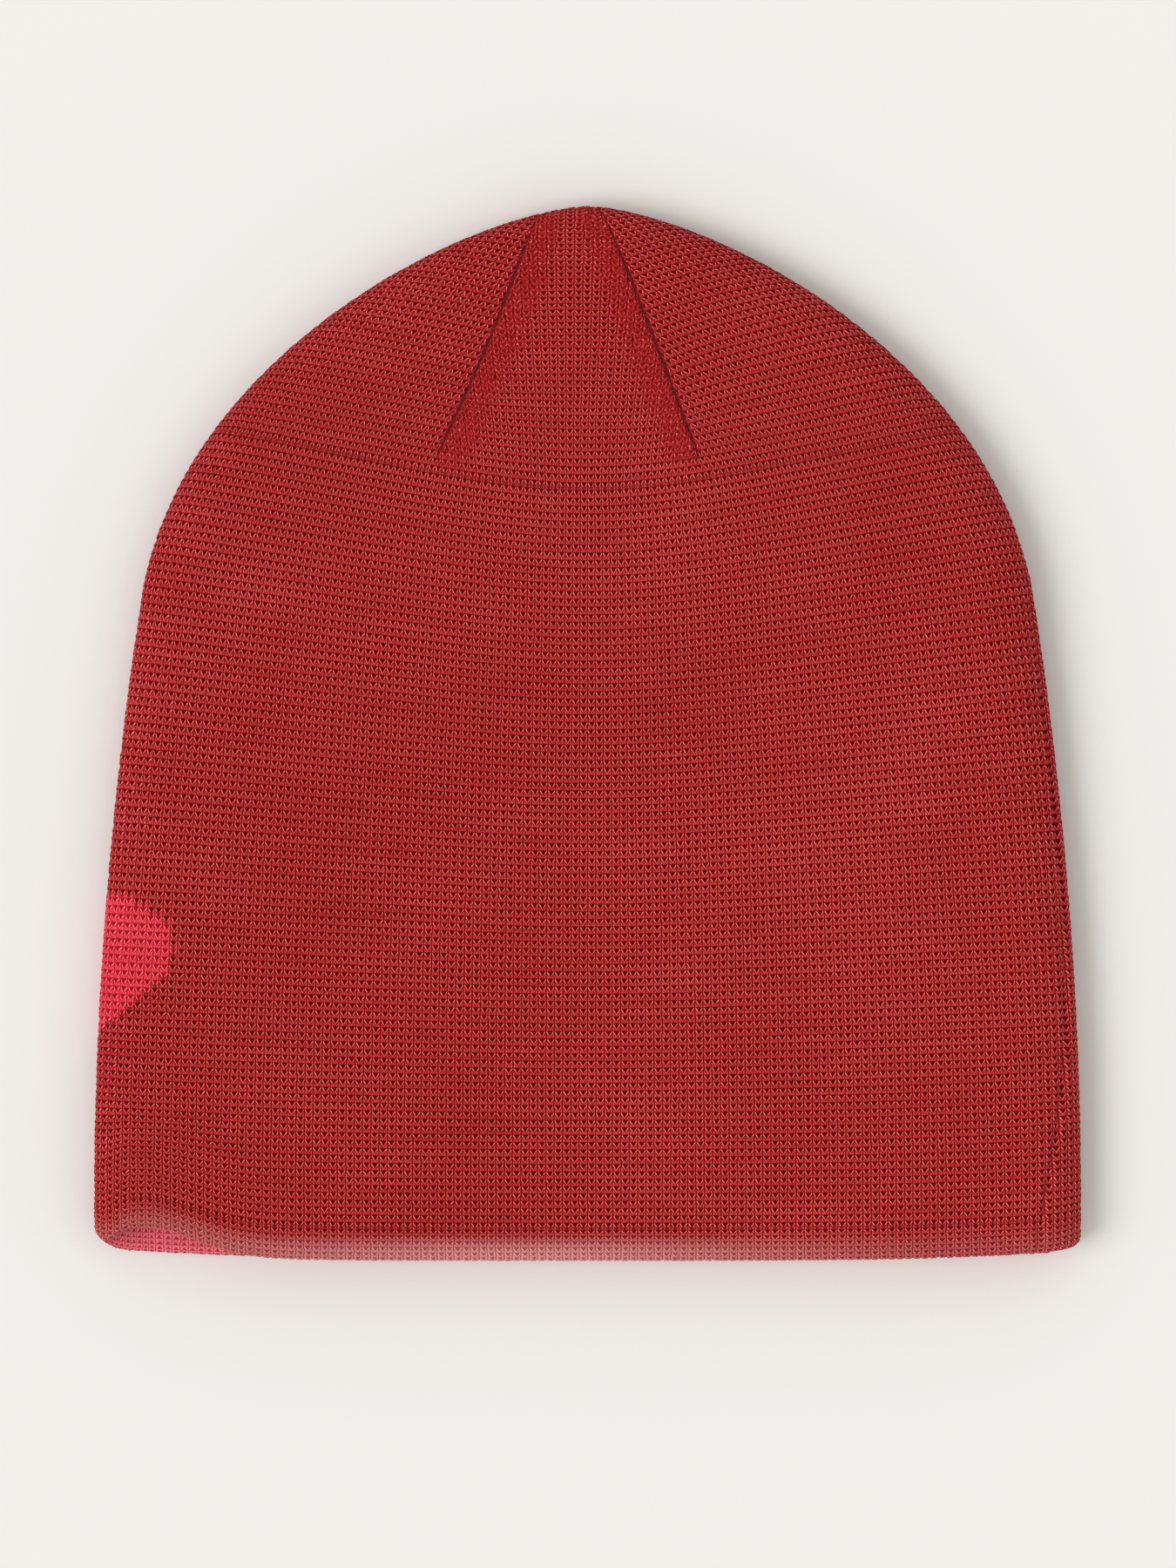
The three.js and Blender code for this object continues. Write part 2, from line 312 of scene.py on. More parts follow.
def outer_place(u, v, side):
    """Plan place of a stitch in a side gore, whose wales lean to the crown and spread."""
    rows, xb, yb = crown_base(u, v)
    seam, row_climb, pull = (RIGHT_DART, 0.12, 2.3) if side > 0 else (LEFT_DART, 0.05, 0.8)
    table = SHIFT_RIGHT if side > 0 else SHIFT_LEFT
    y = yb + np.clip(rows, 0, None) * 1.45
    turned_up = row_climb * np.clip(np.abs(xb) - 30.0, -8.0, None) * smoothstep(rows, 0.0, 22.0)
    for _ in range(3):
        lean = lean_of((y + yb) / 2, side)
        y = yb + np.clip(rows, 0, None) * GORE_COURSE * np.cos(lean) + turned_up
    opened = opening_of(y) / opening_of(yb)
    x = side * GORE_MIDDLE + (xb - side * GORE_MIDDLE) * opened
    x = x - side * (np.interp(y, SHIFT_Y, table) - np.interp(yb, SHIFT_Y, table))
    away = np.clip(seam_gap(x, y, seam, side)[0], 0, None)
    y = y - pull * np.exp(-away / 8.0) * smoothstep(rows, 0.0, 14.0)
    return joined_to_body(x, y, u, v)


def centre_place(u, v):
    """Plan place of a stitch in the gore between the darts, whose courses come to bow down at their ends."""
    rows, xb, yb = crown_base(u, v)
    up = np.clip(rows, 0, None)
    mid = BODY_END_Y + 1.8 * up - 0.0075 * up * up
    fan = 1.0 + 0.34 * smoothstep(mid, 50.0, 120.0)
    x = CENTRE_X + (xb - CENTRE_X) * fan
    settle = smoothstep(mid, BODY_END_Y, 97.0)
    y = mid + (yb - BODY_END_Y) * (1 - settle) - 0.0031 * (x - CENTRE_X) ** 2 * settle
    return joined_to_body(x, y, u, v)


def seam_gap(x, y, seam, side):
    """How far a plan point lies to the given side of a seam line, and the line's lean there."""
    px = np.array([p[0] for p in seam])
    py = np.array([p[1] for p in seam])
    seam_x = np.interp(y, py, px)
    lean = np.interp(y, (py[1:] + py[:-1]) / 2, np.diff(px) / np.diff(py))
    return side * (x - seam_x) / np.hypot(1, lean), lean


def sink_to_seam(x, y, seam, side):
    """Turns the cloth down into the hat along a seam, as its allowance does."""
    gap, lean = seam_gap(x, y, seam, side)
    started = smoothstep(y, seam[0][1] - 5.0, seam[0][1] + 3.0)
    closing = smoothstep(y, 106.0, 114.0)
    turn = np.clip((SEAM_ROLL - gap) / SEAM_ROLL, 0, math.pi / 2)
    rolled = SEAM_ROLL * (1 - np.sin(turn))
    drop = SEAM_ROLL * (1 - np.cos(turn)) + np.clip(SEAM_ROLL * (1 - math.pi / 2) - gap, 0, 0.25)
    open_by = SEAM_GROOVE * (1 - 0.8 * closing)
    drop = drop * (1 - 0.5 * closing)
    new_gap = np.where(gap < SEAM_ROLL, rolled * (1 - open_by / SEAM_ROLL) + open_by, gap)
    moved = side * (new_gap - gap) * np.hypot(1, lean) * started
    return x + moved, drop * started * (gap < SEAM_ROLL)


def back_seam_inset(y):
    """How far inside the hat's outline the back seam lies: on the fold up the side, further in at the
    rim."""
    return 0.3 + 9.2 / (1 + ((y + 118.0) / 30.0) ** 2)


def arc_past_fold(inside):
    """How far round the fold, along the cloth, lies a point that is this far inside the hat's outline."""
    angle = np.arcsin(np.clip((FOLD_REACH - inside) / FOLD_REACH, 0, 1))
    return np.interp(angle, ELLIPSE_ANGLE, ELLIPSE_ARC)


def back_seam(x, y, wall):
    """The groove of the seam up the back, which lies on the upper wall just inside its fold."""
    if wall < 0:
        return np.zeros_like(x)
    seam_x = np.interp(TIP_Y - y, LINE_DEPTH, LINE_X) + arc_past_fold(back_seam_inset(y))
    meets_fold = smoothstep(y, 25.0, 48.0)
    return np.where(x > 0, np.exp(-(((x - seam_x) / BACK_SEAM_WIDTH) ** 2)), 0.0) * (1 - meets_fold)


# ---------------------------------------------------------------- building cloth from stitches

UNEVEN_SIZE = 320
UNEVEN = np.random.default_rng(7).normal(0, 1, (UNEVEN_SIZE, UNEVEN_SIZE))


def unevenness(wale, course):
    """How far each stitch strays from the average, the same for every piece that shares it."""
    return np.clip(UNEVEN[(wale + 160) % UNEVEN_SIZE, (course + 60) % UNEVEN_SIZE], -2, 2)


def relief_table(cols, rows):
    """Depth below the yarn's highest, from 0 to 1. Columns start at the wale's edge, rows run up a leg."""
    table = np.zeros((cols, rows))
    for c in range(cols):
        off = abs(c / cols - 0.5) * 2
        for r in range(rows):
            phase = r / rows
            low = np.clip((phase - HOLLOW_LOW + 0.1) / 0.15, 0, 1)
            high = np.clip((HOLLOW_TOP - HOLLOW_TOP_SLANT * off - phase) / 0.15, 0, 1)
            slit = 0.6 * max(0.0, (off - 0.6) / 0.4)
            table[c, r] = min(1.0, slit + 0.25 * (1 - math.sin(math.pi * phase)) + 0.6 * low * high)
    return table


def add_mesh(name, verts, groups, uvs, smooth_groups, attributes, normals):
    """A mesh from groups of polygons. The first group is the knitted face and takes the normals."""
    mesh = bpy.data.meshes.new(name)
    loops = np.concatenate([g.ravel() for g in groups])
    sizes = np.concatenate([np.full(len(g), g.shape[1]) for g in groups])
    starts = np.concatenate([[0], np.cumsum(sizes)[:-1]])
    mesh.vertices.add(len(verts))
    mesh.vertices.foreach_set("co", (verts * MM).astype(np.float32).ravel())
    mesh.loops.add(len(loops))
    mesh.loops.foreach_set("vertex_index", loops.astype(np.int32))
    mesh.polygons.add(len(sizes))
    mesh.polygons.foreach_set("loop_start", starts.astype(np.int32))
    smooth = np.concatenate([np.full(len(g), s) for g, s in zip(groups, smooth_groups)])
    mesh.update(calc_edges=True)
    mesh.polygons.foreach_set("use_smooth", smooth)
    layer = mesh.uv_layers.new(name="stitch")
    layer.data.foreach_set("uv", uvs[loops].astype(np.float32).ravel())
    for key, values in attributes.items():
        item = mesh.attributes.new(key, "FLOAT", "POINT")
        item.data.foreach_set("value", values.astype(np.float32))
    on_face = np.arange(len(loops)) < groups[0].size
    loop_normals = np.where(on_face[:, None], normals[loops], 0.0)
    mesh.normals_split_custom_set(loop_normals.tolist())
    ob = bpy.data.objects.new(name, mesh)
    bpy.context.collection.objects.link(ob)
    return ob


def stitch_grid(cells, cols, rows):
    """Fine points of the stitches' relief: their columns and rows, and each stitch's own among them."""
    low = cells.min(0) - 2
    span = cells.max(0) - low + 3
    width = span[0] * cols + cols
    i, k = cells[:, 0] - low[0], cells[:, 1] - low[1]
    grid = np.zeros((len(cells), cols + 1, rows + 1), dtype=np.int64)
    for c in range(cols + 1):
        for r in range(rows + 1):
            grid[:, c, r] = (k * rows + r) * width + i * cols + c
    keys, index = np.unique(grid, return_inverse=True)
    return keys % width + low[0] * cols, keys // width + low[1] * rows, index.reshape(grid.shape)


def edge_walls(cells, index, back, cols, rows):
    """The polygons that close the cloth between face and back, wherever a stitch has no neighbour."""
    present = set(map(tuple, cells.tolist()))
    sides = [((-1, 0), [(0, r) for r in range(rows, -1, -1)], (0, 3)),
             ((1, 0), [(cols, r) for r in range(rows + 1)], (2, 1)),
             ((0, -1), [(c, 0) for c in range(cols + 1)], (1, 0)),
             ((0, 1), [(c, rows) for c in range(cols, -1, -1)], (3, 2))]
    walls = []
    for (di, dk), chain, (end, start) in sides:
        open_edge = np.array([(a + di, b + dk) not in present for a, b in cells.tolist()])
        if not open_edge.any():
            continue
        top = np.stack([index[open_edge, c, r] for c, r in chain], 1)
        under = np.stack([back[open_edge, end], back[open_edge, start]], 1)
        walls.append(np.concatenate([top[:, ::-1], under[:, ::-1]], 1))
    return walls


def flat_size(cells, place):
    """The cloth's flat width and length, and its area, in metres, from its stitches laid out in plan."""
    px, py = place(cells[:, 0].astype(float)[:, None] + np.array([[0, 1, 1, 0]]),
                   cells[:, 1].astype(float)[:, None] + LEG_RISE + np.array([[0, 0, 1, 1]]))
    rising = (px[:, 2] - px[:, 0]) * (py[:, 3] - py[:, 1])
    falling = (px[:, 3] - px[:, 1]) * (py[:, 2] - py[:, 0])
    area = np.abs((rising - falling) / 2).sum()
    return ((px.max() - px.min()) * MM, (py.max() - py.min()) * MM), float(area) * MM * MM


def knit_cloth(name, cells, place, surface, detail, thickness, flip=False, marks=None):
    """A closed piece of knitted cloth from whole stitches, with its flat size and area.

    cells are (wale, course) pairs. place(u, v) gives plan points, and surface(x, y, inset) lays
    them in space. marks are rules that give an attribute's value at a plan point. The face carries
    the stitches' relief and the back is plain."""
    cols, rows = detail
    cells = np.asarray(cells)
    fine_u, fine_v, index = stitch_grid(cells, cols, rows)
    table = relief_table(cols, rows) * RELIEF

    def lattice(fu, fv):
        across = np.abs((fu % cols) / cols - 0.5) * 2
        return fu / cols, fv / rows + LEG_RISE * across

    def point(fu, fv):
        u, v = lattice(fu, fv)
        near = unevenness(fu // cols, fv // rows)
        depth = table[fu % cols, fv % rows]
        x, y = place(u + 0.035 * near, v)
        uneven = depth + 0.05 * near * (depth < RELIEF * 0.8)
        return np.stack(surface(x, y, np.clip(uneven, 0, None)), 1)

    u, v = lattice(fine_u, fine_v)
    x, y = place(u, v)
    front = point(fine_u, fine_v)
    normals = np.cross(point(fine_u + 1, fine_v) - point(fine_u - 1, fine_v),
                       point(fine_u, fine_v + 1) - point(fine_u, fine_v - 1))
    size = np.linalg.norm(normals, axis=1, keepdims=True)
    normals = np.where(size > 1e-9, normals / np.maximum(size, 1e-9), 0.0) * (-1 if flip else 1)
    normals = np.concatenate([normals, np.zeros((len(cells) * 4, 3))])
    corner = np.stack([index[:, 0, 0], index[:, cols, 0], index[:, cols, rows], index[:, 0, rows]], 1)
    ids, back = np.unique(corner, return_inverse=True)
    back = back.reshape(corner.shape) + len(front)
    bx, by = place(u[ids], v[ids])
    behind = np.stack(surface(bx, by, np.full(len(ids), thickness)), 1)
    uv = np.stack([u, v], 1)
    quads = [np.stack([index[:, c, r], index[:, c + 1, r], index[:, c + 1, r + 1], index[:, c, r + 1]], 1)
             for c in range(cols) for r in range(rows)]
    walls = edge_walls(cells, index, back, cols, rows)
    groups = [np.concatenate(quads), back[:, ::-1]] + walls
    smooth = [True, True] + [False] * len(walls)
    if flip:
        groups = [g[:, ::-1] for g in groups]
    attributes = {}
    for key, rule in ({"dense": dense_mark} | (marks or {})).items():
        values = rule(x, y)
        attributes[key] = np.concatenate([values, values[ids]])
    ob = add_mesh(name, np.concatenate([front, behind]), groups, np.concatenate([uv, uv[ids]]), smooth,
                  attributes, normals)
    return ob, *flat_size(cells, place)


def dense_mark(x, y):
    """1 in the close stitches on the centre gore's side of each dart, fading to 0 away from it."""
    started = smoothstep(y, 57.0, 64.0)
    left = seam_gap(x, y, LEFT_DART, 1)[0]
    right = seam_gap(x, y, RIGHT_DART, -1)[0]
    between = (left > -0.2) & (right > -0.2)
    return np.where(between, started * (1 - smoothstep(np.minimum(left, right), 3.5, 8.5)), 0.0)


def outline_of_heart(width, height):
    """A plain heart round its own middle, its point down."""
    t = np.linspace(0, 2 * math.pi, 97)[:-1]
    along = 13 * np.cos(t) - 5 * np.cos(2 * t) - 2 * np.cos(3 * t) - np.cos(4 * t)
    return np.stack([np.sin(t) ** 3 * width / 2, along * height / 29], 1)


def inside(points, outline):
    """Which points lie within a closed outline."""
    hit = np.zeros(len(points), bool)
    x, y = points[:, 0], points[:, 1]
    for (ax, ay), (bx, by) in zip(outline, np.roll(outline, -1, 0)):
        crosses = (ay > y) != (by > y)
        if ay != by:
            hit ^= crosses & (x < (bx - ax) * (y - ay) / (by - ay) + ax)
    return hit


def cell_centres(cells, place):
    """Plan places of the stitches' middles."""
    u = cells[:, 0] + 0.5
    v = cells[:, 1] + 0.5 + LEG_RISE / 2
    return place(u, v)


def box_of_cells(i0, i1, k0, k1):
    i, k = np.meshgrid(np.arange(i0, i1), np.arange(k0, k1), indexing="ij")
    return np.stack([i.ravel(), k.ravel()], 1)


def in_heart(cells, wall):
    """Which stitches the heart covers, its places taken round the front fold from one wall to the other."""
    x, y = cell_centres(cells, body_place)
    way = wall_half(TIP_Y - y) + x
    from_heart = np.stack([wall * way + HEART_PAST_FOLD, y - HEART_Y], 1)
    return inside(from_heart, outline_of_heart(HEART_WIDTH, HEART_HEIGHT))


def waves_of(x, y, past, wall):
    """How far the upper wall's waves let its cloth sink. The lower wall lies flat."""
    if wall < 0:
        return 0.0
    return sway(x, y) * smoothstep(1 - past / FOLD_ARC, 0.0, 1.0)


def wall_surface(wall, seams=(), deeper=0.0, sink=1.0, inward=False):
    """Lays plan points on a wall, with its seams, waves and raised rim corners.

    inward is for cloth that faces into the hat."""
    def lay(x, y, inset):
        sunk = np.zeros_like(x)
        for line, way in seams:
            x, drop = sink_to_seam(x, y, line, way)
            sunk = sunk + drop * sink
        groove = BACK_SEAM_DEPTH * back_seam(x, y, wall) * sink
        tucked = LINING_TUCK * smoothstep(-y, 104.0, 110.0) if inward else 0.0
        from_face = deeper - tucked - inset if inward else deeper + inset
        px, py, pz, past = wrap(x, y, from_face + sunk + groove, wall)
        pz = pz - wall * waves_of(x, y, past, wall)
        return px, py + rim_lift(px, TIP_Y - py, wall), pz
    return lay


def node(tree, kind, **values):
    item = tree.nodes.new(kind)
    for key, value in values.items():
        setattr(item, key, value)
    return item


class Maths:
    """Short forms for the nodes that work out values in one tree."""

    def __init__(self, tree):
        self.tree = tree

    def __call__(self, operation, *inputs, clamp=False):
        item = node(self.tree, "ShaderNodeMath", operation=operation, use_clamp=clamp)
        for socket, value in zip(item.inputs, inputs):
            if isinstance(value, (int, float)):
                socket.default_value = value
            else:
                self.tree.links.new(value, socket)
        return item.outputs[0]

    def ramp(self, value, low, high):
        item = node(self.tree, "ShaderNodeMapRange", interpolation_type="SMOOTHSTEP")
        self.tree.links.new(value, item.inputs["Value"])
        item.inputs["From Min"].default_value = low
        item.inputs["From Max"].default_value = high
        return item.outputs["Result"]

    def mix(self, factor, a, b):
        item = node(self.tree, "ShaderNodeMix", data_type="RGBA")
        for socket, value in ((item.inputs[0], factor), (item.inputs[6], a), (item.inputs[7], b)):
            if isinstance(value, (int, float)):
                socket.default_value = value
            elif isinstance(value, tuple):
                socket.default_value = (*value, 1.0)
            else:
                self.tree.links.new(value, socket)
        return item.outputs[2]

    def noise(self, vector, scale, detail=2.0):
        """Noise round zero."""
        item = node(self.tree, "ShaderNodeTexNoise")
        item.inputs["Scale"].default_value = scale
        item.inputs["Detail"].default_value = detail
        self.tree.links.new(vector, item.inputs["Vector"])
        return self("SUBTRACT", item.outputs[0], 0.5)

    def scaled(self, vector, by):
        item = node(self.tree, "ShaderNodeVectorMath", operation="MULTIPLY")
        item.inputs[1].default_value = by
        self.tree.links.new(vector, item.inputs[0])
        return item.outputs[0]


KNIT_INPUTS = (("UV", "Vector"), ("Place", "Vector"), ("Yarn", "Color"), ("Light", "Color"),
               ("PaintedShade", "Color"), ("Dense", "Float"))
KNIT_OUTPUTS = (("Color", "Color"), ("Height", "Float"))


def stitch_group():
    """One plain-knit stitch per unit of its UV: two slanted legs, a hollow between them and a slit at
    each side. Its colour holds painted light: highlights along the legs, and shade in the hollow, in
    the slits and between one leg and the next."""
    tree = bpy.data.node_groups.new("plain_knit", "ShaderNodeTree")
    for way, sockets in (("INPUT", KNIT_INPUTS), ("OUTPUT", KNIT_OUTPUTS)):
        for label, kind in sockets:
            tree.interface.new_socket(label, in_out=way, socket_type=f"NodeSocket{kind}")
    m = Maths(tree)
    given = node(tree, "NodeGroupInput").outputs
    result = node(tree, "NodeGroupOutput").inputs
    parts = node(tree, "ShaderNodeSeparateXYZ")
    tree.links.new(given["UV"], parts.inputs[0])
    stray = m("MULTIPLY", m.noise(given["UV"], 1.7), m("ADD", 0.1, m("MULTIPLY", given["Dense"], 0.7)))
    u = m("ADD", parts.outputs[0], stray)
    v = m("ADD", parts.outputs[1], stray)
    off = m("MULTIPLY", m("ABSOLUTE", m("SUBTRACT", m("FRACT", u), 0.5)), 2.0)
    phase = m("FRACT", m("SUBTRACT", v, m("MULTIPLY", off, LEG_RISE)))
    # Painted shade: strand dips dark between one leg and the next, and slit darkens the wale's edges.
    strand = m("POWER", m("SINE", m("MULTIPLY", phase, math.pi)), 0.35)
    slit = m.ramp(off, 1.0, 0.76)
    lower = m.ramp(phase, HOLLOW_LOW - 0.07, HOLLOW_LOW + 0.05)
    slanted = m("ADD", phase, m("MULTIPLY", off, HOLLOW_TOP_SLANT))
    upper = m.ramp(slanted, HOLLOW_TOP + 0.05, HOLLOW_TOP - 0.08)
    filled = m("SUBTRACT", 1.0, m("MULTIPLY", given["Dense"], 0.6))
    hollow = m("MULTIPLY", m("MULTIPLY", lower, upper), filled)
    leg = m("MULTIPLY", strand, m("ADD", 0.2, m("MULTIPLY", slit, 0.8)))
    # Painted highlights: a crest along each strand and a flank up each leg beside the slit; where lit is high
    # the colour goes to the light tone.
    painted_crest_highlight = m("MULTIPLY", m.ramp(m("ABSOLUTE", m("SUBTRACT", phase, 0.2)), 0.26, 0.0), slit)
    painted_flank_highlight = m("MULTIPLY", m.ramp(m("ABSOLUTE", m("SUBTRACT", off, LEG_OFF)), 0.34, 0.0), strand)
    ply = m("SINE", m("ADD", m("MULTIPLY", phase, 18.8), m("MULTIPLY", off, 7.0)))
    fuzz = m.noise(given["Place"], 2600.0, 3.0)
    streak = m.noise(m.scaled(given["UV"], (0.06, 1.3, 1.0)), 1.0)
    patch = m.noise(given["Place"], 22.0)
    # lit mixes painted light with the yarn's own tone: painted highlights and painted shade of the stitch,
    # the ply's twist, darker close stitches, and random fuzz, streaks and patches.
    lit = m("MULTIPLY", leg, 0.5)
    for part, share in ((painted_crest_highlight, 0.32), (painted_flank_highlight, 0.24), (ply, 0.05), (given["Dense"], -0.12), (fuzz, 0.5),
                        (streak, 0.2), (patch, 0.16)):
        lit = m("ADD", lit, m("MULTIPLY", part, share))
    # Painted shade: the hollow between the legs is darkened almost to the dark tone.
    lit = m("MULTIPLY", lit, m("SUBTRACT", 1.0, m("MULTIPLY", hollow, 0.92)))
    base = m.mix(m.ramp(lit, 0.0, 0.5), given["PaintedShade"], given["Yarn"])
    shade = m.mix(m.ramp(lit, 0.5, 1.0), base, given["Light"])
    tree.links.new(shade, result["Color"])
    height = m("MULTIPLY", leg, m("SUBTRACT", 1.0, m("MULTIPLY", hollow, 0.8)))
    height = m("ADD", height, m("MULTIPLY", fuzz, 0.25))
    tree.links.new(m("ADD", height, m("MULTIPLY", ply, 0.04)), result["Height"])
    return tree


def linear(r, g, b):
    """A colour on the 0 to 255 display scale, as the shader's linear values."""
    def one(c):
        c = c / 255
        return c / 12.92 if c <= 0.04045 else ((c + 0.055) / 1.055) ** 2.4
    return (one(r), one(g), one(b))


KNIT = stitch_group()


def knit_material(name, tones, changes=()):
    """Knitted yarn in three tones: the yarn's own, a lighter one for painted highlights and a dark one for
    painted shade.

    Each change names a mark and the tones where it is 1."""
    material = bpy.data.materials.new(name)
    material.use_nodes = True
    tree = material.node_tree
    shader = tree.nodes["Principled BSDF"]
    m = Maths(tree)
    uv = node(tree, "ShaderNodeUVMap", uv_map="stitch")
    place = node(tree, "ShaderNodeTexCoord")
    group = node(tree, "ShaderNodeGroup", node_tree=KNIT)
    tree.links.new(uv.outputs[0], group.inputs["UV"])
    tree.links.new(place.outputs["Object"], group.inputs["Place"])
    for number, key in enumerate(("Yarn", "Light", "PaintedShade")):
        group.inputs[key].default_value = (*tones[number], 1.0)
        tone = tones[number]
        for mark_name, other in changes:
            mark = node(tree, "ShaderNodeAttribute", attribute_name=mark_name)
            tone = m.mix(mark.outputs["Fac"], tone, other[number])
        if changes:
            tree.links.new(tone, group.inputs[key])
    dense = node(tree, "ShaderNodeAttribute", attribute_name="dense")
    tree.links.new(dense.outputs["Fac"], group.inputs["Dense"])
    tree.links.new(group.outputs["Color"], shader.inputs["Base Color"])
    bump = node(tree, "ShaderNodeBump")
    bump.inputs["Strength"].default_value = 0.55
    bump.inputs["Distance"].default_value = 0.0003
    tree.links.new(group.outputs["Height"], bump.inputs["Height"])
    tree.links.new(bump.outputs[0], shader.inputs["Normal"])
    shader.inputs["Roughness"].default_value = 0.88
    shader.inputs["Specular IOR Level"].default_value = 0.06
    shader.inputs["Sheen Weight"].default_value = 0.02
    shader.inputs["Sheen Roughness"].default_value = 0.5
    return material


def plain_cloth_material(name, tone, scale, depth):
    """Thread or ribbon in one tone, with a fine grain of the given scale and depth."""
    material = bpy.data.materials.new(name)
    material.use_nodes = True
    tree = material.node_tree
    shader = tree.nodes["Principled BSDF"]
    m = Maths(tree)
    place = node(tree, "ShaderNodeTexCoord")
    weave = node(tree, "ShaderNodeTexNoise")
    weave.inputs["Scale"].default_value = scale
    weave.inputs["Detail"].default_value = 4.0
    tree.links.new(place.outputs["Object"], weave.inputs["Vector"])
    darker = tuple(c * 0.72 for c in tone)
    tree.links.new(m.mix(m.ramp(weave.outputs[0], 0.3, 0.7), darker, tone), shader.inputs["Base Color"])
    bump = node(tree, "ShaderNodeBump")
    bump.inputs["Strength"].default_value = 0.4
    bump.inputs["Distance"].default_value = depth
    tree.links.new(weave.outputs[0], bump.inputs["Height"])
    tree.links.new(bump.outputs[0], shader.inputs["Normal"])
    shader.inputs["Roughness"].default_value = 0.9
    return material


# Knitted tones: the yarn's own, a lighter one for painted highlights, and a dark one for painted shade in the
# hollows and slits.
RED = (linear(182, 36, 38), linear(252, 120, 120), linear(94, 0, 1))
PINK = (linear(250, 112, 126), linear(255, 172, 182), linear(190, 52, 68))
MOTIF = (linear(236, 54, 70), linear(255, 124, 136), linear(150, 14, 30))
TURN = (linear(219, 138, 136), linear(248, 186, 184), linear(164, 84, 84))
red_knit = knit_material("red_knit", RED)
rim_knit = knit_material("rim_knit", RED, [("turn", TURN), ("inside", PINK)])
pink_knit = knit_material("pink_knit", PINK)
motif_knit = knit_material("motif_knit", MOTIF)
# The red thread is darker than the yarn: painted shade for the seam grooves it lies in.
red_thread = plain_cloth_material("red_thread", linear(134, 18, 20), 1800.0, 0.0002)
pink_thread = plain_cloth_material("pink_thread", PINK[0], 1800.0, 0.0002)
label_cloth = plain_cloth_material("label_cloth", linear(238, 236, 232), 2400.0, 0.0001)


def finish_piece(ob, material, nodes):
    ob.data.materials.append(material)
    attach(ob, "root")
    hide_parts(*nodes)


def finish_cloth(ob, flat, area, material, slot, nodes):
    finish_piece(ob, material, nodes)


# ---------------------------------------------------------------- the two walls


def crown_cells(place, seams, low, high):
    """The whole stitches of one gore: those between its seams and short of the fold's edge."""
    crown = box_of_cells(low, high, BODY_COURSES, BODY_COURSES + CROWN_COURSES)
    x, y = cell_centres(crown, place)
    keep = sample(PAST_GRID, np.abs(x), y) < FOLD_ARC + KEPT_PAST_FOLD
    for line, way in seams:
        keep &= seam_gap(x, y, line, way)[0] > -KEPT_PAST_SEAM
    return crown[keep]


def left_place(u, v):
    return outer_place(u, v, -1)


def right_place(u, v):
    return outer_place(u, v, 1)


def gores(left_dart, right_dart):
    """Each gore's label, place rule, seams with the side it lies on, and range of wales."""
    return (("left", left_place, [(left_dart, -1)], -HALF_WALES, 0),
            ("centre", centre_place, [(left_dart, 1), (right_dart, -1)], -HALF_WALES, HALF_WALES),
            ("right", right_place, [(right_dart, 1)], 0, HALF_WALES))


def build_face(wall, detail):
    side = "upper" if wall > 0 else "lower"
    flip = wall < 0
    surface = wall_surface(wall)
    body = box_of_cells(-HALF_WALES, HALF_WALES, 0, BODY_COURSES)
    heart = in_heart(body, wall)
    thirds = (("left", -HALF_WALES, -MIDDLE_HALF_WALES),
              ("middle", -MIDDLE_HALF_WALES, MIDDLE_HALF_WALES),
              ("right", MIDDLE_HALF_WALES, HALF_WALES))
    for label, low, high in thirds:
        cells = body[(body[:, 0] >= low) & (body[:, 0] < high) & ~heart]
        made = knit_cloth(f"face_{side}_{label}", cells, body_place, surface, detail, FACE_KNIT, flip)
        finish_cloth(*made, red_knit, "red_knit", ["outer_shell"])
    made = knit_cloth(f"heart_{side}", body[heart], body_place, surface, detail, FACE_KNIT, flip)
    finish_cloth(*made, motif_knit, "motif_knit", ["heart_motif"])
    for label, place, seams, low, high in gores(LEFT_DART, RIGHT_DART):
        cells = crown_cells(place, seams, low, high)
        sewn = wall_surface(wall, seams)
        made = knit_cloth(f"crown_{side}_{label}", cells, place, sewn, detail, FACE_KNIT, flip)
        finish_cloth(*made, red_knit, "red_knit", ["outer_shell"])


def build_lining(wall):
    side = "upper" if wall > 0 else "lower"
    flip = wall > 0
    body = box_of_cells(-HALF_WALES, HALF_WALES, -1, BODY_COURSES)
    surface = wall_surface(wall, (), LINING_END, LINING_SEAM_TURN, inward=True)
    made = knit_cloth(f"lining_{side}", body, body_place, surface, LINING_DETAIL, LINING_KNIT, flip)
    finish_cloth(*made, pink_knit, "pink_knit", ["lining_shell"])
    for label, place, seams, low, high in gores(LINING_LEFT_DART, LINING_RIGHT_DART):
        cells = crown_cells(place, seams, low, high)
        sewn = wall_surface(wall, seams, LINING_END, LINING_SEAM_TURN, inward=True)
        name = f"lining_crown_{side}_{label}"
        made = knit_cloth(name, cells, place, sewn, LINING_DETAIL, LINING_KNIT, flip)
        finish_cloth(*made, pink_knit, "pink_knit", ["lining_shell"])


# ---------------------------------------------------------------- the turned rim

ROLL = LINING_END / 2
RIM_TURN = math.pi * ROLL
RIM_DEPTH = 7.0
RIM_INSIDE = 6.5
RIM_STRAIGHT = RIM_DEPTH - ROLL
RIM_LENGTH = RIM_STRAIGHT + RIM_TURN + RIM_INSIDE
RIM_STEPS = 14


def rim_place(u, v):
    """Plan x, and how far along the cloth from the rim's first course a point lies."""
    x, y = body_place(u, np.clip(v, 0, None))
    down = np.where(v > 0, 0.0, -v / RIM_STEPS * RIM_LENGTH)
    return x, (BODY_START_Y - y) * (1 - smoothstep(down, 0.0, RIM_STRAIGHT)) + down


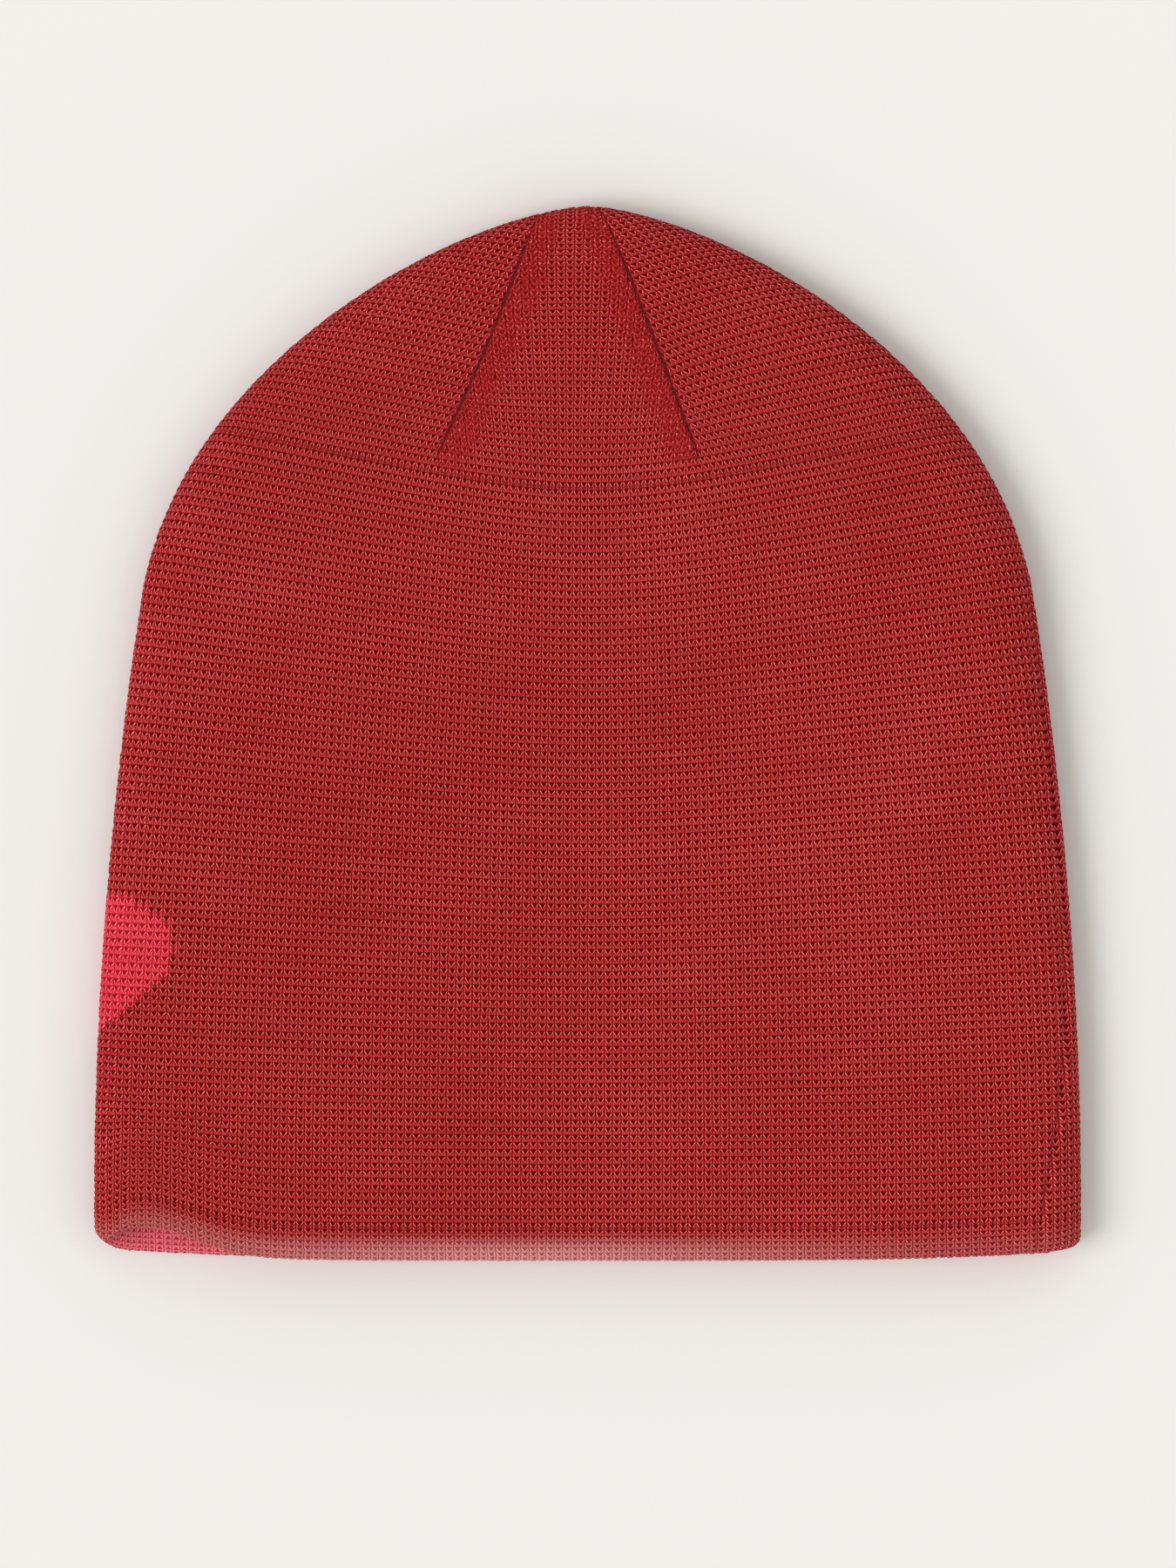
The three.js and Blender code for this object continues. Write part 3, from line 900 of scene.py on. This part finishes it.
def rim_surface(wall):
    """The cloth's last courses: out to the rim, round it, and back inside."""
    def lay(x, along, inset):
        turn = np.clip((along - RIM_STRAIGHT) / ROLL, 0, math.pi)
        back = np.clip(along - RIM_STRAIGHT - RIM_TURN, 0, None)
        out = np.minimum(along, RIM_STRAIGHT)
        radius = ROLL - inset
        y = BODY_START_Y - out - radius * np.sin(turn) + back
        groove = BACK_SEAM_DEPTH * back_seam(x, y, wall) * np.cos(turn / 2)
        px, py, pz, past = wrap(x, y, ROLL - radius * np.cos(turn) + groove, wall)
        pz = pz - wall * waves_of(x, y, past, wall)
        return px, py + rim_lift(px, TIP_Y - py, wall), pz
    return lay


def turn_mark(x, along):
    """Where the stretched last courses turn paler, most in the middle: partly the lining's yarn showing
    through and partly a painted highlight.
    """
    middle = 0.14 + 0.86 * np.exp(-(((x + 18) / 60) ** 2))
    return smoothstep(along, 0.2, 5.4) * middle + 0.4 * smoothstep(along, 6.5, 9.0) * (1 - middle)


def inside_mark(x, along):
    """Where the rim has turned far enough to be the lining's yarn."""
    return smoothstep(along, RIM_STRAIGHT + RIM_TURN * 0.5, RIM_STRAIGHT + RIM_TURN * 0.75)


def build_rim(wall, detail):
    cells = box_of_cells(-HALF_WALES, HALF_WALES, -RIM_STEPS, 0)
    name = "rim_upper" if wall > 0 else "rim_lower"
    marks = {"turn": turn_mark, "inside": inside_mark}
    made = knit_cloth(name, cells, rim_place, rim_surface(wall), detail, RIM_KNIT, wall < 0, marks)
    finish_cloth(*made, rim_knit, "red_knit", ["rim_fold"])


# ---------------------------------------------------------------- seam threads, tack and label

TACK_TURNS = 4
TACK_RING = 0.38
TACK_THREAD = 0.1
TACK_SPACING = 0.21
LABEL_HALF_GAP = 0.16 * MM
LABEL_GAP_OPENING = 1.6
LABEL_CURL = 0.18 * MM
LABEL_CLOTH = 0.12 * MM


def seam_thread(name, line, surface, flip, material, node_name):
    """A chain of linking stitches that lies in a seam's groove."""
    px = np.array([p[0] for p in line])
    py = np.array([p[1] for p in line])
    count = max(4, int((py[-1] - py[0]) / THREAD_STITCH))

    def place(u, v):
        y = py[0] + (py[-1] - py[0]) * v / count
        return np.interp(y, py, px) + (u - 0.5) * THREAD_WIDTH, y

    cells = box_of_cells(0, 1, 0, count - 1)
    ob, _, _ = knit_cloth(name, cells, place, surface, THREAD_DETAIL, THREAD_KNIT, flip)
    finish_piece(ob, material, [node_name])


def back_seam_line(angle=None):
    """The line of the back seam, or of a seam that lies at one angle round the fold all the way."""
    ys = np.linspace(-109.0, 58.0, 40)
    if angle is None:
        past = arc_past_fold(back_seam_inset(ys))
    else:
        past = np.interp(angle, ELLIPSE_ANGLE, ELLIPSE_ARC)
    xs = np.interp(TIP_Y - ys, LINE_DEPTH, LINE_X) + past
    return list(zip(xs.tolist(), ys.tolist()))


def below_tip(line):
    """The line without its points near the tip, where no thread lies."""
    return [point for point in line if point[1] < THREAD_TOP_Y]


def lining_surface(wall):
    """Where the lining's threads lie, just within its face."""
    return wall_surface(wall, (), LINING_END - 0.1, 0.0, inward=True)


def build_seams():
    darts = (("left", "front", LEFT_DART, LINING_LEFT_DART), ("right", "back", RIGHT_DART, LINING_RIGHT_DART))
    for wall, side in ((1, "upper"), (-1, "lower")):
        face = wall_surface(wall, (), 0.5)
        for label, node_label, line, inner in darts:
            seam_thread(f"dart_thread_{side}_{label}", below_tip(line), face, wall < 0,
                        red_thread, f"outer_dart_seam_{node_label}_{side}")
            seam_thread(f"lining_dart_thread_{side}_{label}", below_tip(inner), lining_surface(wall),
                        wall > 0, pink_thread, f"lining_dart_seam_{node_label}_{side}")
    seam_thread("back_seam_thread", back_seam_line(), wall_surface(1, (), 0.35), False,
                red_thread, "outer_back_seam")
    seam_thread("lining_back_seam_thread", back_seam_line(math.radians(80)), lining_surface(1), True,
                pink_thread, "lining_back_seam")


def thread_turns(low, high):
    """Turns of thread side by side, each a ring as long as the gap between the two crowns."""
    centre = [(a + b) / 2 for a, b in zip(low, high)]
    size = [b - a for a, b in zip(low, high)]
    rings = []
    for number in range(TACK_TURNS):
        bpy.ops.object.select_all(action="DESELECT")
        bpy.ops.mesh.primitive_torus_add(major_segments=20, minor_segments=8, major_radius=TACK_RING,
                                         minor_radius=TACK_THREAD)
        ring = bpy.context.object
        across = (number - (TACK_TURNS - 1) / 2) * TACK_SPACING
        for vertex in ring.data.vertices:
            x, y, z = vertex.co
            vertex.co = (centre[0] + (z + across) * size[0], centre[1] + y * size[1],
                         centre[2] + x * size[2])
        ring.data.flip_normals()
        rings.append(ring)
    bpy.ops.object.select_all(action="DESELECT")
    for ring in rings:
        ring.select_set(True)
    bpy.context.view_layer.objects.active = rings[0]
    bpy.ops.object.join()
    ob = bpy.context.object
    ob.name = "crown_tack_thread"
    bpy.ops.object.shade_smooth()
    finish_piece(ob, red_thread, ["crown_tack"])


def folded_strip(low, high, steps=24, bend_steps=6):
    """The label seen from its edge: x and rise along one leaf, round the fold and back."""
    length = high[0] - low[0]
    profile = [(high[0] - length * (n / steps), LABEL_HALF_GAP) for n in range(steps + 1)]
    for n in range(1, bend_steps + 1):
        a = math.pi * n / bend_steps
        profile.append((low[0] - LABEL_HALF_GAP * math.sin(a), LABEL_HALF_GAP * math.cos(a)))
    for n in range(1, steps + 1):
        profile.append((low[0] + length * n / steps, -LABEL_HALF_GAP))
    return profile


def blank_label(low, high, across=8):
    """A woven strip folded in two, its loop towards the middle of the hat."""
    profile = folded_strip(low, high)
    verts, faces = [], []
    middle = (low[2] + high[2]) / 2
    for x, rise in profile:
        for n in range(across + 1):
            t = n / across
            curl = LABEL_CURL * math.sin(x / MM / 4.1 + 2.6 * t)
            verts.append((x, low[1] + (high[1] - low[1]) * t, middle + rise * LABEL_GAP_OPENING + curl))
    for row in range(len(profile) - 1):
        for n in range(across):
            a = row * (across + 1) + n
            faces.append((a, a + 1, a + across + 2, a + across + 1))
    mesh = bpy.data.meshes.new("care_label_blank")
    mesh.from_pydata(verts, [], faces)
    ob = bpy.data.objects.new("care_label_blank", mesh)
    bpy.context.collection.objects.link(ob)
    bpy.ops.object.select_all(action="DESELECT")
    ob.select_set(True)
    bpy.context.view_layer.objects.active = ob
    thick = ob.modifiers.new("cloth", "SOLIDIFY")
    thick.thickness = LABEL_CLOTH
    thick.offset = 0
    bpy.ops.object.modifier_apply(modifier=thick.name)
    bpy.ops.object.mode_set(mode="EDIT")
    bpy.ops.mesh.select_all(action="SELECT")
    bpy.ops.mesh.normals_make_consistent(inside=False)
    bpy.ops.object.mode_set(mode="OBJECT")
    bpy.ops.object.shade_smooth_by_angle(angle=math.radians(40))
    finish_piece(ob, label_cloth, ["care_label"])


build_face(1, FINE)
build_face(-1, COARSE)
build_lining(1)
build_lining(-1)
build_rim(1, FINE)
build_rim(-1, COARSE)
build_seams()
thread_turns(*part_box("crown_tack"))
blank_label(*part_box("care_label"))


# ---------------------------------------------------------------- light, floor and camera

CAMERA_HEIGHT = 2.2
CAMERA_SENSOR = 24.0
VIEW_HEIGHT = 0.35075


def studio():
    """Paper under a pale sky, one broad lamp from the left, and the camera overhead."""
    scene = bpy.context.scene
    world = bpy.data.worlds.new("studio")
    scene.world = world
    world.use_nodes = True
    world.node_tree.nodes["Background"].inputs["Color"].default_value = (0.97, 1.0, 0.945, 1.0)
    world.node_tree.nodes["Background"].inputs["Strength"].default_value = 0.727
    bpy.ops.mesh.primitive_plane_add(size=30.0, location=(0, 0, 0))
    floor = bpy.context.object
    floor.name = "floor"
    paper = bpy.data.materials.new("paper")
    paper.use_nodes = True
    shader = paper.node_tree.nodes["Principled BSDF"]
    shader.inputs["Base Color"].default_value = (0.858, 0.846, 0.826, 1.0)
    shader.inputs["Roughness"].default_value = 0.95
    shader.inputs["Specular IOR Level"].default_value = 0.0
    floor.data.materials.append(paper)
    lamp = bpy.data.lights.new("key", "SUN")
    lamp.energy = 1.35
    lamp.color = (1.0, 0.94, 1.0)
    lamp.angle = math.radians(34)
    key = bpy.data.objects.new("key", lamp)
    bpy.context.collection.objects.link(key)
    key.location = (-0.95, 0.15, 1.25)
    key.rotation_euler = (math.radians(9), math.radians(-40), 0)
    lens = bpy.data.cameras.new("camera")
    camera = bpy.data.objects.new("camera", lens)
    bpy.context.collection.objects.link(camera)
    camera.location = (0.0001, -0.01139, CAMERA_HEIGHT)
    lens.sensor_fit = "VERTICAL"
    lens.sensor_height = CAMERA_SENSOR
    lens.lens = CAMERA_SENSOR * (CAMERA_HEIGHT - MIDDLE_Z * MM) / VIEW_HEIGHT
    scene.camera = camera
    scene.view_settings.view_transform = "Standard"


studio()
